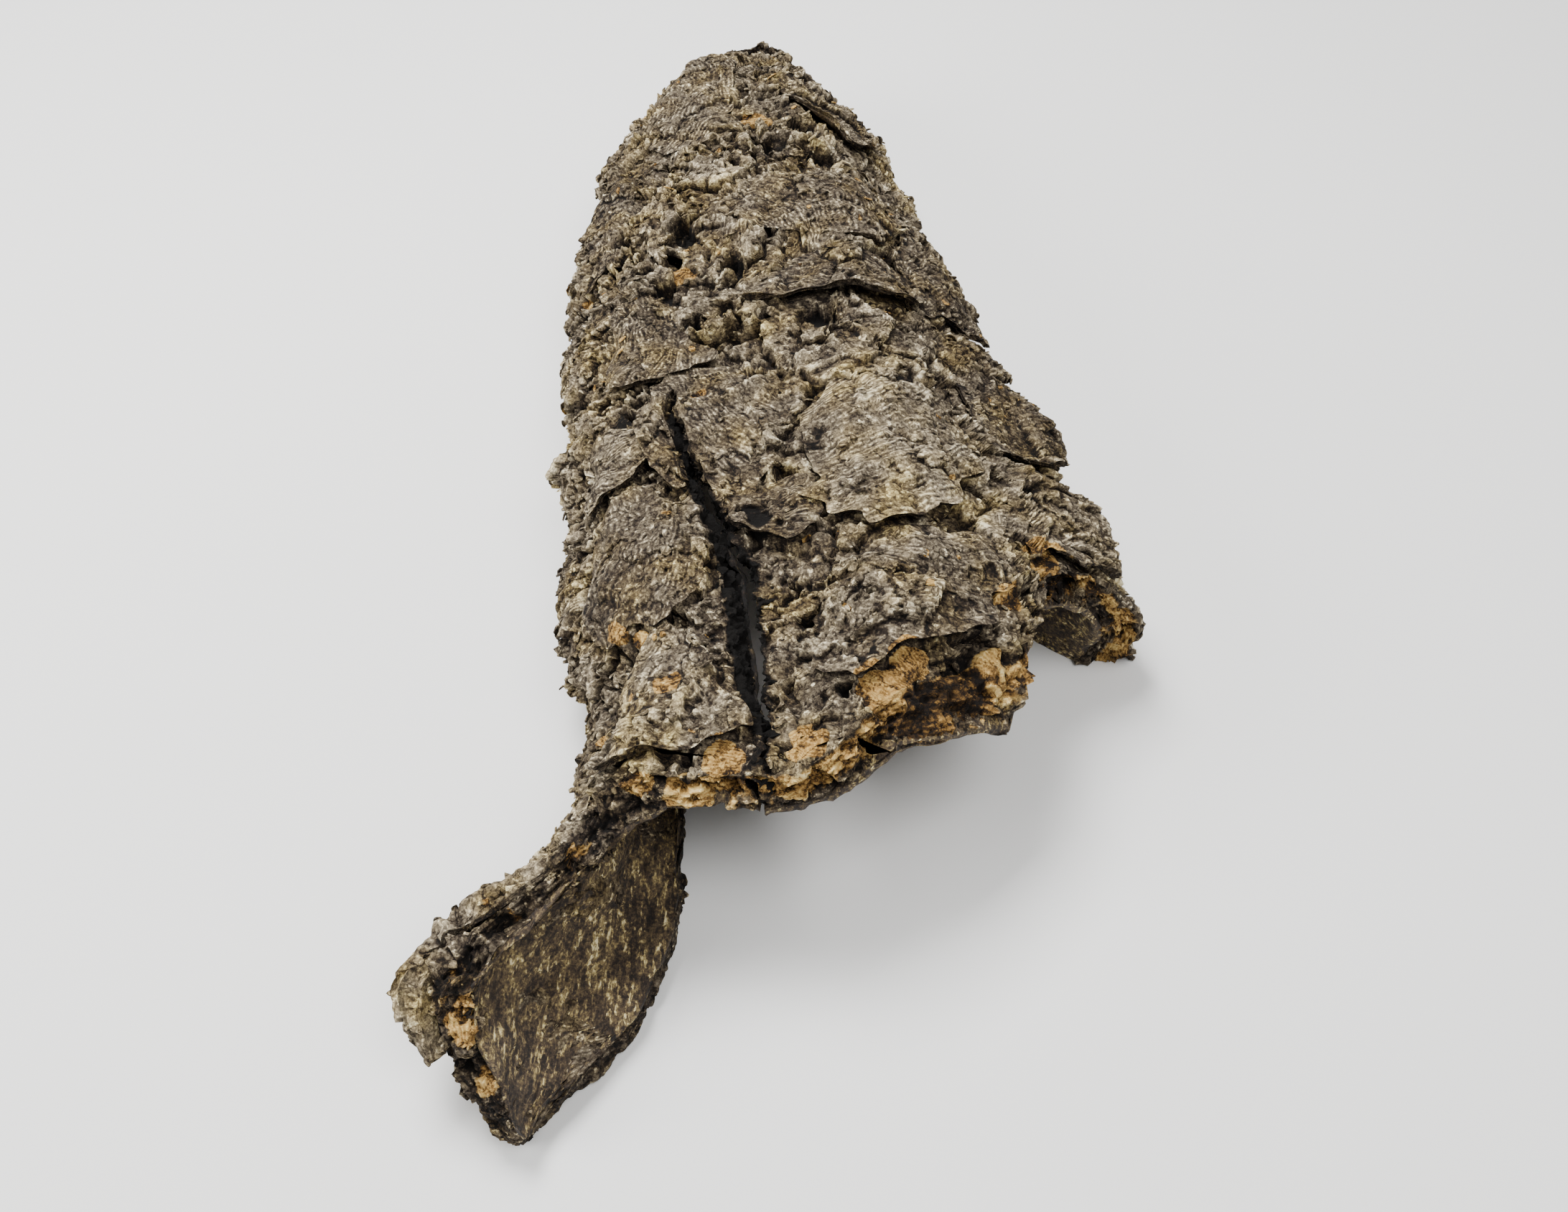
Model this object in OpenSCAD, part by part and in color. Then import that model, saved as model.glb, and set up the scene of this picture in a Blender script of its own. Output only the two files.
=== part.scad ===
// A slab of virgin cork bark: an open half-round shell of cork with a hard inner skin, a side wall that runs
// on as a long tongue, a drying split along the crown, and plates of dead outer bark that flake off its back.
// Origin: bottom centre of the bark as it lies on its foot and right rim. +Y runs to the narrow far end.

/* [Bark] */
// Length from the tongue's tip to the far end
bark_length = 680; // [600:10:760]
// Width across the tongue's corner and the right rim
bark_width = 330; // [290:10:370]
// Height of the crown above the surface that the bark lies on
crown_height = 114; // [100:2:126]
// Thickness of the cork between its back and the inner skin
cork_thickness = 15; // [12:1:18]
// Thickness of the hard inner skin
skin_thickness = 3; // [2:0.5:4]
// Height of the long swellings beside the split
swelling = 5; // [0:1:8]

/* [Split] */
// Widest opening of the drying split
split_width = 13; // [6:1:18]
// Opening that is left at its mouth, on the near end
mouth_width = 3; // [2:0.5:6]

/* [Plates] */
// Thickness of an ordinary bark plate
plate_thickness = 7; // [5:1:9]
// Thickness that a plate keeps at its rim
rim_thickness = 2.5; // [1.5:0.5:4]
// Gap under the free edge of a lifted plate
plate_lift = 3; // [1:0.5:5]

/* [Hidden] */

// The section is three quarter ellipses: right rim to crown, crown to left wall, left wall to foot.
// Its angle runs from 0 at the right rim, over the crown at 90, to 270 at the foot under the left wall.
foot_angle = 270;
split_angle = 113;
split_reach = 30;

// Each station: y, x of the left wall, x of the foot, x of the crown, x of the right rim, crown height as a
// share of crown_height, height of the left wall's widest place.
Y = 0;
WALL = 1;
FOOT = 2;
CROWN = 3;
RIM = 4;
RISE = 5;
WAIST = 6;
stations = [
    [-346, -138, -108, 5, 150, 0.88, 52],
    [-300, -146, -76, 10, 156, 0.90, 58],
    [-270, -134, -63, 16, 160, 0.92, 60],
    [-245, -113, -58, 22, 163, 0.94, 58],
    [-204, -101, -58, 26, 166, 0.96, 52],
    [-150, -102, -60, 27, 166, 0.98, 50],
    [-95, -115, -66, 25, 161, 1.00, 50],
    [-30, -124, -74, 16, 138, 1.00, 52],
    [40, -128, -80, 5, 119, 0.98, 52],
    [110, -130, -86, -8, 98, 0.94, 50],
    [172, -128, -90, -18, 81, 0.89, 47],
    [264, -110, -80, -26, 58, 0.79, 42],
    [340, -84, -60, -30, 36, 0.66, 34]
];

// Where the bark is broken off, as y for each angle of the section
near_end = [
    [0, -102], [15, -108], [30, -114], [45, -117], [53, -124], [57, -150], [60, -192], [70, -202],
    [80, -212], [90, -222], [98, -234], [111, -237], [125, -235], [138, -238], [148, -246],
    [158, -263], [168, -285], [178, -304], [190, -320], [205, -332], [222, -340], [238, -345],
    [252, -343], [262, -333], [270, -316]
];
far_end = [
    [0, 262], [15, 272], [30, 285], [45, 294], [56, 300], [62, 298], [68, 322], [80, 332],
    [100, 334], [120, 328], [140, 318], [160, 308], [180, 300], [220, 290], [270, 285]
];
// How far the back is broken away behind the inner face at the near end, for each angle
near_bevel = [
    [0, 0], [50, 4], [60, 26], [88, 26], [98, 6], [125, 6], [140, 10], [170, 6], [185, 0], [270, 0]
];
// The split's angle and its share of split_width, for each y
split_line = [
    [-346, 113], [-232, 113], [-214, 111], [-190, 114], [-125, 115], [-105, 119], [-80, 122], [-29, 125]
];
split_share = [
    [-232, 0], [-205, 0.1], [-188, 0.85], [-170, 1], [-115, 1], [-98, 0.75], [-70, 0.5], [-29, 0]
];
split_end = -29;
// Run along the back for one degree of the section's angle, near the split
degree_run = 2.36;

// The shell's grid: rows follow each other along the bark, and columns round its section, with one column for
// each lip of the split
rows = 40;
right_columns = 13;
left_columns = 17;
columns = right_columns + left_columns;
split_row = round(rows * (split_end - lookup(split_angle, near_end))
    / (lookup(split_angle, far_end) - lookup(split_angle, near_end)));
x_scale = bark_width / 330;
y_scale = bark_length / 680;
// Brings the middle of the bark's box to the origin
base_shift = [2.6, 5.4, 0];

// Smooth curve through a column of the stations
function segment(y, i = 0) = i >= len(stations) - 2 || y < stations[i + 1][Y] ? i : segment(y, i + 1);
function slope(i, c) =
    i == 0 || i == len(stations) - 1 ? 0
    : (stations[i + 1][c] - stations[i - 1][c]) / (stations[i + 1][Y] - stations[i - 1][Y]);
function station(y, c) =
    let (
        i = segment(y),
        w = stations[i + 1][Y] - stations[i][Y],
        u = min(1, max(0, (y - stations[i][Y]) / w)),
        p = stations[i][c],
        q = stations[i + 1][c]
    )
    (2 * u ^ 3 - 3 * u ^ 2 + 1) * p + (u ^ 3 - 2 * u ^ 2 + u) * w * slope(i, c)
    + (3 * u ^ 2 - 2 * u ^ 3) * q + (u ^ 3 - u ^ 2) * w * slope(i + 1, c);

// Swellings: long crests beside the split, and broad lumps that fade at the foot and the rim
function fade(a) = min(1, max(0, a / 25)) * min(1, max(0, (235 - a) / 45));
function swell(y, a) =
    fade(a) * (swelling * lookup(y, [[-340, 0.4], [-240, 1.2], [-20, 0.8], [200, 0.4], [340, 0.3]])
        * cos(6.9 * (a - 135))
        + 2.5 * sin(2.6 * y + 2.2 * a) * cos(1.5 * y - 3 * a));

// A burl thickens the cork inwards at the near lobe's rim: how far, for each y, up to that angle of the section
rim_burl = [[-112, 0], [-98, 14], [-84, 34], [-45, 38], [5, 0]];
burl_angle = 48;
function burl(y, a, d) =
    lookup(y, rim_burl) * max(0, 1 - a / burl_angle) ^ 1.6 * min(1, max(0, d / cork_thickness));

// A point of the section at y and angle a, at depth d below the back
function section(y, a, d) =
    let (
        e = d - swell(y, a),
        crown_z = station(y, RISE) * crown_height,
        waist = station(y, WAIST),
        wall = station(y, WALL),
        crown = station(y, CROWN),
        foot = station(y, FOOT)
    )
    a <= 90 ? [crown + (station(y, RIM) - crown - e) * cos(a) - burl(y, a, d), (crown_z - e) * sin(a)]
    : a <= 180 ? [crown + (crown - wall - e) * cos(a), waist + (crown_z - waist - e) * sin(a)]
    : [foot + (foot - wall - e) * cos(a), max(d > 0 ? 2 : 0, waist + (waist + 2 - e) * sin(a))];

// Columns of the grid: two share the split's line, one for each of its lips
function nominal(c) =
    c <= right_columns ? split_angle * c / right_columns
    : split_angle + (foot_angle - split_angle) * (c - right_columns - 1) / left_columns;
function along(i, c, back) =
    let (near = lookup(nominal(c), near_end) + (back ? lookup(nominal(c), near_bevel) : 0))
    near + (lookup(nominal(c), far_end) - near) * i / rows;
function half_gap(i, y) =
    i >= split_row ? 0
    : (mouth_width + (split_width - mouth_width) * lookup(y, split_share)) / 2 / degree_run;
function angle(i, c, y) =
    nominal(c) + max(0, 1 - abs(nominal(c) - split_angle) / split_reach)
    * (lookup(y, split_line) - split_angle + (c <= right_columns ? -1 : 1) * half_gap(i, y));

// A point of the grid at depth d; a point above the back keeps to the back's own rows
function grid_point(i, c, d) =
    let (y = along(i, c, d < cork_thickness / 2), p = section(y, angle(i, c, y), d))
    [p[0] * x_scale, y * y_scale, p[1]] + base_shift;

// A point of the shell's own facets at depth d, for a row and a column that need not be whole numbers
function on_facet(i, c, d) =
    let (
        i0 = floor(i), c0 = floor(c), u = i - i0, v = c - c0,
        from = grid_point(i0, c0, d),
        far = u > 0 || v > 0 ? grid_point(u > 0 ? i0 + 1 : i0, v > 0 ? c0 + 1 : c0, d) : from,
        side = v > u ? grid_point(i0, c0 + 1, d) : u > v ? grid_point(i0 + 1, c0, d) : far
    )
    v >= u ? from + v * (side - from) + u * (far - side) : from + u * (side - from) + v * (far - side);

// Finer rows and columns: k of them to one of the shell's
function fine_column(f, k) =
    f <= k * right_columns ? f / k : right_columns + 1 + (f - k * right_columns - 1) / k;
// A cell lies between two columns; the lips are one line past the split's end
function left_of(q, k) = q < k * right_columns ? q : q + 1;
function merged(i, f, k) = f == k * right_columns + 1 && i >= k * split_row ? f - 1 : f;
function cut_after(i, q, k) = q == k * right_columns - 1 && i < k * split_row;

// A closed solid over the cells that keep() takes, between the depths that low() and high() give
module slab(k, r0, r1, q0, q1, keep, low, high) {
    f0 = left_of(q0, k);
    f1 = left_of(q1, k) + 1;
    width = f1 - f0 + 1;
    points = [
        for (depth = [high, low]) for (i = [r0:r1]) for (f = [f0:f1])
            on_facet(i / k, fine_column(f, k), depth(i, f))
    ];
    at = function (i, f, layer) (layer * (r1 - r0 + 1) + i - r0) * width + merged(i, f, k) - f0;
    taken = function (i, q) i >= r0 && i < r1 && q >= q0 && q <= q1 && keep(i, q);
    quad = function (a, b, c, d) [[a, b, c], [a, c, d]];
    faces = [
        for (i = [r0:r1 - 1]) for (q = [q0:q1]) if (taken(i, q))
            let (a = left_of(q, k), b = a + 1)
            each concat(
                quad(at(i, a, 0), at(i, b, 0), at(i + 1, b, 0), at(i + 1, a, 0)),
                quad(at(i, a, 1), at(i + 1, a, 1), at(i + 1, b, 1), at(i, b, 1)),
                taken(i - 1, q) ? [] : quad(at(i, a, 0), at(i, a, 1), at(i, b, 1), at(i, b, 0)),
                taken(i + 1, q) ? []
                    : quad(at(i + 1, b, 0), at(i + 1, b, 1), at(i + 1, a, 1), at(i + 1, a, 0)),
                taken(i, q - 1) && !cut_after(i, q - 1, k) ? []
                    : quad(at(i + 1, a, 0), at(i + 1, a, 1), at(i, a, 1), at(i, a, 0)),
                taken(i, q + 1) && !cut_after(i, q, k) ? []
                    : quad(at(i, b, 0), at(i, b, 1), at(i + 1, b, 1), at(i + 1, b, 0))
            )
    ];
    polyhedron(points = points, faces = faces, convexity = 10);
}

// The whole shell between two depths
module layer(from, to) {
    slab(1, 0, rows, 0, columns - 1, function (i, q) true, function (i, f) to, function (i, f) from);
}

// A plate on the back: an oval round y and angle a, reach mm long and spread degrees wide each way, thinner
// at its rim. It lifts towards its heading, where 0 is the far end, 90 the left and 180 the near end.
module bark_plate(y, a, reach, spread, thick = plate_thickness, heading = 180, lift = plate_lift) {
    k = 2;
    near = lookup(a, near_end);
    pitch = (lookup(a, far_end) - near) / rows;
    place = function (i, c) [(i / k * pitch + near - y) / reach, (nominal(c) - a) / spread];
    // The outline swings in and out a little, as a torn edge does
    radius = function (p)
        let (t = atan2(p[1], p[0])) norm(p) / (1 + 0.09 * sin(3 * t + 5 * y) + 0.05 * sin(7 * t + a));
    low = function (i, f)
        let (p = place(i, fine_column(f, k))) -lift * max(0, p * [cos(heading), sin(heading)] + 0.1) ^ 1.5;
    high = function (i, f)
        let (p = place(i, fine_column(f, k)))
        low(i, f) - rim_thickness - (thick - rim_thickness) * sqrt(max(0, 1 - radius(p) ^ 2));
    keep = function (i, q) radius(place(i + 0.5, fine_column(left_of(q, k), k) + 0.5 / k)) < 1;
    q0 = max(0, floor(k * columns * (a - 1.3 * spread) / foot_angle));
    q1 = min(k * columns - 1, ceil(k * columns * (a + 1.3 * spread) / foot_angle));
    slab(k, 0, k * rows, q0, q1, keep, low, high);
}

module cork_layer() color("#8a7a60") layer(0, cork_thickness);
module inner_skin() color("#4a3c2a") layer(cork_thickness, cork_thickness + skin_thickness);

// Plates, from the tongue to the far end
module tongue_corner_plate()
    color("#897962") bark_plate(-288, 183, 22, 20, thick = 2.6 * plate_thickness, lift = 2 * plate_lift);
module tongue_neck_plate()
    color("#6d6251") bark_plate(-256, 164, 20, 14, thick = 1.3 * plate_thickness, heading = 90);
module front_left_plate() color("#887b66") bark_plate(-198, 132, 36, 16);
module left_lobe_plate() color("#887b66") bark_plate(-118, 137, 44, 20, heading = 90);
module split_flap() color("#93876f") bark_plate(-56, 138, 22, 17);
module split_wedge_plate() color("#7c705c") bark_plate(-50, 110, 44, 11, heading = 90);
module curled_lip() color("#6d6251") bark_plate(-106, 104, 20, 9, heading = 135);
module centre_plate() color("#938770") bark_plate(-76, 80, 52, 19);
module front_centre_plate() color("#887b66") bark_plate(-166, 82, 34, 20, heading = 200);
module right_lobe_plate() color("#7c705c") bark_plate(-84, 42, 28, 16);
module right_edge_plate() color("#6d6251") bark_plate(0, 42, 46, 17, heading = 240);
module ledge_plate() color("#6d6251") bark_plate(52, 78, 24, 20, lift = 1.5 * plate_lift);
module ridged_plate() color("#7c705c") bark_plate(16, 124, 38, 17);
module crown_plate() color("#6d6251") bark_plate(120, 78, 38, 20, heading = 270);
module left_brow_plate() color("#6d6251") bark_plate(138, 146, 44, 20, heading = 90);
module right_brow_plate() color("#6d6251") bark_plate(94, 46, 40, 17, heading = 240);
module far_tip_plate() color("#7c705c") bark_plate(254, 114, 60, 20, heading = 0);
module far_crest_plate() color("#887b66") bark_plate(238, 62, 38, 19);

cork_layer();
inner_skin();
tongue_corner_plate();
tongue_neck_plate();
front_left_plate();
left_lobe_plate();
split_flap();
split_wedge_plate();
curled_lip();
centre_plate();
front_centre_plate();
right_lobe_plate();
right_edge_plate();
ledge_plate();
ridged_plate();
crown_plate();
left_brow_plate();
right_brow_plate();
far_tip_plate();
far_crest_plate();
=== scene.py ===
import math

import bmesh
import bpy
import numpy as np
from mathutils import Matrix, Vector
from mathutils.bvhtree import BVHTree


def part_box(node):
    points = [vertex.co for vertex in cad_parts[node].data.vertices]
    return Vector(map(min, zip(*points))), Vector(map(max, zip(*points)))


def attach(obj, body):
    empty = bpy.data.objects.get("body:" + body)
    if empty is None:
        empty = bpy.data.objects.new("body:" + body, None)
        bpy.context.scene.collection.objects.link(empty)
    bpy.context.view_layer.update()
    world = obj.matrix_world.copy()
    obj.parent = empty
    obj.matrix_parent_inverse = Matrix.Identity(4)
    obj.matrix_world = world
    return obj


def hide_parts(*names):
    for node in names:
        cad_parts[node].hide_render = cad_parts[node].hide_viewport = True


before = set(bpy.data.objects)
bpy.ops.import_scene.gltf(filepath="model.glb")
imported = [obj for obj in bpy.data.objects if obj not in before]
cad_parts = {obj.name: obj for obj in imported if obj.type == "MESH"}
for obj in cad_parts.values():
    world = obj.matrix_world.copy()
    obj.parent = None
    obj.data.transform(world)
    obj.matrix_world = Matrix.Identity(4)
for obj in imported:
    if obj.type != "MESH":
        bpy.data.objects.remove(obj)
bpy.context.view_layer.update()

# ---------------------------------------------------------------- the cork's surface
# Virgin cork is dead outer bark that has grown for many years without being stripped: grey-brown, soft and
# matt, torn by fissures into plates, and the plates into flakes. The functions below give its relief at any
# point, in millimetres, from Blender's own textures, so that every piece of the bark is torn by the same
# pattern.

# The sizes of the bark's plates, flakes, crumbs and fallen places, across, along and up, in millimetres
PLATE_SIZE = (34, 46, 34)
FLAKE_SIZE = (14, 11, 14)
CRUMB_SIZE = (5.6, 4.4, 5.0)
FALLEN_SIZE = (30, 34, 30)


def texture_at(points, kind, outputs, settings=(), **inputs):
    """Blender's texture node of that kind, read at an array of points: one array for each output."""
    count = len(points)
    mesh = bpy.data.meshes.new("samples")
    mesh.vertices.add(count)
    mesh.vertices.foreach_set("co", np.ascontiguousarray(points, np.float32).ravel())
    holder = bpy.data.objects.new("samples", mesh)
    bpy.context.scene.collection.objects.link(holder)
    tree = bpy.data.node_groups.new("samples", "GeometryNodeTree")
    tree.interface.new_socket("Mesh", in_out="INPUT", socket_type="NodeSocketGeometry")
    tree.interface.new_socket("Mesh", in_out="OUTPUT", socket_type="NodeSocketGeometry")
    texture = tree.nodes.new(kind)
    for name, value in dict(settings).items():
        setattr(texture, name, value)
    for name, value in inputs.items():
        texture.inputs[name].default_value = value
    last = tree.nodes.new("NodeGroupInput").outputs[0]
    for name in outputs:
        store = tree.nodes.new("GeometryNodeStoreNamedAttribute")
        store.domain = "POINT"
        store.data_type = "FLOAT" if texture.outputs[name].type == "VALUE" else "FLOAT_VECTOR"
        store.inputs["Name"].default_value = "read " + name
        tree.links.new(texture.outputs[name], store.inputs["Value"])
        tree.links.new(last, store.inputs["Geometry"])
        last = store.outputs[0]
    tree.links.new(last, tree.nodes.new("NodeGroupOutput").inputs[0])
    holder.modifiers.new("samples", "NODES").node_group = tree
    result = holder.evaluated_get(bpy.context.evaluated_depsgraph_get()).data
    arrays = []
    for name in outputs:
        attribute = result.attributes["read " + name]
        width = 1 if attribute.data_type == "FLOAT" else 3
        values = np.empty(count * width, np.float32)
        attribute.data.foreach_get("value" if width == 1 else "vector", values)
        arrays.append(values.astype(float) if width == 1 else values.reshape(-1, 3).astype(float))
    bpy.data.objects.remove(holder)
    bpy.data.meshes.remove(mesh)
    bpy.data.node_groups.remove(tree)
    return arrays


def noise(points, size, detail=2.0, roughness=0.5, shift=0.0):
    """Smooth noise from about -1 to 1, with lumps of that size in millimetres."""
    (value,) = texture_at(points / size + shift, "ShaderNodeTexNoise", ("Fac",),
                          Scale=1.0, Detail=detail, Roughness=roughness)
    return (value - 0.5) * 3.2


def drift(points, size, detail=1.0, shift=0.0):
    """A smooth random direction at each point, each part from about -1 to 1."""
    (value,) = texture_at(points / size + shift, "ShaderNodeTexNoise", ("Color",),
                          Scale=1.0, Detail=detail)
    return (value - 0.5) * 3.2


def cells(points, size, shift=0.0):
    """Cells of that size along each axis: offset from the cell's middle in millimetres, three random numbers
    for the cell, and the distance to its edge in millimetres."""
    size = np.array(size, float)
    at = points / size + shift
    random, middle = texture_at(at, "ShaderNodeTexVoronoi", ("Color", "Position"), Scale=1.0)
    to_edge = {"feature": "DISTANCE_TO_EDGE"}
    (edge,) = texture_at(at, "ShaderNodeTexVoronoi", ("Distance",), to_edge, Scale=1.0)
    return (at - middle) * size, random, edge * size.min()


def step(value, low, high):
    """0 below low, 1 above high, and smooth between them."""
    t = np.clip((value - low) / (high - low), 0, 1)
    return t * t * (3 - 2 * t)


def unit(vectors):
    return vectors / np.maximum(np.linalg.norm(vectors, axis=1, keepdims=True), 1e-9)


def swellings(points):
    """Broad lumps of the whole bark, which every layer and plate follows."""
    return 3.6 * noise(points, 75, 1.0) + 2.0 * noise(points, 30, 1.0, shift=7.3)


def wander(points):
    """Sideways drift of the whole bark, which keeps every edge from being straight."""
    return 2.6 * drift(points, 42, 1.0, shift=3.1) + 1.2 * drift(points, 13, 1.0, shift=9.4)


def growth_reach(offset, random, points):
    """Distance in millimetres from a point beside each cell's middle: its rings are the growth lines."""
    centre = (random - 0.5) * np.array([110.0, 150.0, 60.0])
    return np.linalg.norm(offset - centre, axis=1) + 1.3 * noise(points, 9, 2.0, shift=5.5)


def torn_relief(points, normals, crumble):
    """Relief of weathered bark: how far each point stands out or sinks, its sideways overhang, the growth
    reach, and how loose it is. crumble goes from 0 for a firm plate to 1 for crumbs."""
    warped = points + 5.0 * drift(points, 26, 2.0, shift=1.7) + 1.2 * drift(points, 5, 1.0, shift=8.8)
    # plates of the bark, each tilted its own way and a little towards the near end
    offset, random, edge = cells(warped, PLATE_SIZE, shift=2.2)
    tilt = np.einsum("ij,ij->i", offset, random - np.array([0.5, 0.85, 0.5]))
    plate = (5.0 + 3.0 * crumble) * (random[:, 0] - 0.5) + (0.13 + 0.06 * crumble) * tilt
    depth = 2.4 + 3.2 * noise(points, 45, 1.0, shift=4.4)
    relief = plate - np.maximum(depth, 0.3) * (1 - step(edge, 0.0, 2.4))
    growth = growth_reach(offset, random, points)
    lines = np.abs(np.sin(math.pi * growth / 8.0)) ** 0.7
    loose = np.clip(crumble * step(noise(points, 34, 1.0, shift=6.1), -0.7, 0.6) + 0.10, 0, 1)
    # flakes of a plate
    offset2, random2, edge2 = cells(warped + 2.0 * drift(points, 7, 1.0, shift=2.9), FLAKE_SIZE, shift=5.0)
    tilt2 = np.einsum("ij,ij->i", offset2, random2 - np.array([0.5, 0.8, 0.5]))
    flakes = 3.0 * (random2[:, 1] - 0.5) + 0.60 * tilt2 - 1.0 * (1 - step(edge2, 0.0, 0.6))
    # crumbs of a flake
    offset3, random3, _ = cells(warped * 1.1, CRUMB_SIZE, shift=8.0)
    tilt3 = np.einsum("ij,ij->i", offset3, random3 - np.array([0.5, 0.7, 0.5]))
    crumbs = 1.5 * (random3[:, 2] - 0.5) + 0.65 * tilt3
    relief += loose * (flakes + crumbs) + (1 - loose) * (0.9 * (lines - 0.5) + 0.35 * flakes + 0.25 * crumbs)
    relief += 0.45 * noise(points, 2.4, 2.0, shift=0.4)
    # long fissures
    fissure = 1 - step(np.abs(noise(points * (1, 0.6, 1), 21, 3.0, 0.6, shift=12.5)), 0.03, 0.13)
    relief -= 4.2 * fissure * step(noise(points, 30, 1.0, shift=13.5), -0.15, 0.35) * (0.45 + 0.55 * crumble)
    # small holes where pieces have fallen out
    offset4, random4, _ = cells(warped, FALLEN_SIZE, shift=11.0)
    span = 3.0 + 5.5 * random4[:, 1]
    fallen = (random4[:, 0] > 0.70) * step(span - np.linalg.norm(offset4, axis=1), 0.0, 2.0)
    relief -= (5.0 + 6.0 * random4[:, 2]) * fallen * crumble
    # torn edges lean over the lower ground beside them
    along = random - np.array([0.5, 0.9, 0.5])
    along -= np.einsum("ij,ij->i", along, normals)[:, None] * normals
    lean = unit(along) * np.clip(relief, -3, 3)[:, None] * 0.45 + 0.7 * drift(points, 6, 1.0, shift=7.7)
    return relief, lean, growth, loose


# ---------------------------------------------------------------- cork layer: its shape
# The thick layer of cork, about 15 mm, with its weathered back and its broken ends. It is one grown thing,
# and it is grown onto the inner skin. Its mesh is the CAD shell, joined to quads, subdivided smooth and then
# torn.

# The frame is in metres, and the sizes here are in millimetres
MM = 0.001
# What a face of the cork is: the weathered back, the face that lies against the inner skin, or a broken end
WEATHERED, HIDDEN, BROKEN = 0, 1, 2


def activate(obj):
    bpy.ops.object.select_all(action="DESELECT")
    obj.select_set(True)
    bpy.context.view_layer.objects.active = obj


def smooth_copy(node, name, levels=0):
    """A copy of a CAD node as quads, subdivided smooth, with its sharp edges kept sharp."""
    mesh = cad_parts[node].data.copy()
    mesh.materials.clear()
    piece = bpy.data.objects.new(name, mesh)
    bpy.context.scene.collection.objects.link(piece)
    activate(piece)
    bpy.ops.object.mode_set(mode="EDIT")
    bpy.ops.mesh.select_all(action="SELECT")
    bpy.ops.mesh.remove_doubles(threshold=0.05 * MM)
    bpy.ops.mesh.tris_convert_to_quads(face_threshold=math.radians(70), shape_threshold=math.radians(70))
    bpy.ops.mesh.select_all(action="DESELECT")
    bpy.ops.mesh.edges_select_sharp(sharpness=math.radians(50))
    bpy.ops.transform.edge_crease(value=1.0)
    bpy.ops.object.mode_set(mode="OBJECT")
    subdivide_smooth(piece, levels)
    return piece


def subdivide_smooth(piece, levels):
    if levels:
        activate(piece)
        smoother = piece.modifiers.new("smooth", "SUBSURF")
        smoother.levels = smoother.render_levels = levels
        bpy.ops.object.modifier_apply(modifier=smoother.name)


def subdivide_flat(piece, chosen, cuts):
    """Cuts the chosen faces finer, where they lie."""
    activate(piece)
    bpy.ops.object.mode_set(mode="EDIT")
    bpy.ops.mesh.select_mode(type="FACE")
    bpy.ops.mesh.select_all(action="DESELECT")
    bpy.ops.object.mode_set(mode="OBJECT")
    piece.data.polygons.foreach_set("select", chosen)
    bpy.ops.object.mode_set(mode="EDIT")
    bpy.ops.mesh.subdivide(number_cuts=cuts)
    bpy.ops.object.mode_set(mode="OBJECT")


def read(items, name, width=1, kind=float):
    """A property of all of a mesh's items, as an array."""
    values = np.empty(len(items) * width, np.float32 if kind is float else np.int32)
    items.foreach_get(name, values)
    values = values.astype(kind)
    return values.reshape(-1, width) if width > 1 else values


def tree_of(mesh):
    return BVHTree.FromPolygons([v.co for v in mesh.vertices], [p.vertices for p in mesh.polygons])


def nearest(tree, points):
    """For each point: the tree's normal there, and the distance to it in millimetres."""
    found = [tree.find_nearest(p) for p in (points * MM).tolist()]
    return np.array([f[1] for f in found]), np.array([f[3] for f in found]) / MM


def share_of_kind(mesh, kind):
    """For each vertex, the share of its faces that are of that kind."""
    loops = read(mesh.loops, "vertex_index", kind=int)
    weight = np.repeat(read(mesh.polygons, "material_index", kind=int) == kind,
                       read(mesh.polygons, "loop_total", kind=int)).astype(float)
    count = len(mesh.vertices)
    return np.bincount(loops, weight, count) / np.maximum(np.bincount(loops, minlength=count), 1)


def evened(edges, values, reach, cell):
    """Values at points that edges join, averaged with their neighbours' over that reach in millimetres."""
    a, b = edges.T
    count = len(values)
    degree = np.maximum(np.bincount(a, minlength=count) + np.bincount(b, minlength=count), 1)
    for _ in range(max(1, round((2 * reach / cell) ** 2))):
        total = np.bincount(a, values[b], count) + np.bincount(b, values[a], count)
        values = 0.5 * values + 0.5 * total / degree
    return values


def keep_values(mesh, **values):
    """Stores numbers at the vertices under their names, for the materials to read."""
    for name, numbers in values.items():
        attribute = mesh.attributes.new(name, "FLOAT", "POINT")
        attribute.data.foreach_set("value", np.asarray(numbers, np.float32))


def settle(points, outward, lifted):
    """Moves points with the swellings and the wander of the whole bark, which die away on the ground."""
    off_ground = step(points[:, 2], 0, 22)[:, None]
    beside = (points - (-27, -142, 100)) / (24, 34, 30)
    sway = -4.0 * np.exp(-np.einsum("ij,ij->i", beside, beside))[:, None] * np.array([1.0, 0, 0])
    moved = points + off_ground * (outward * swellings(points)[:, None] + wander(points)) + sway + lifted
    moved[:, 2] = np.maximum(moved[:, 2], 0.0)
    return moved


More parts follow.
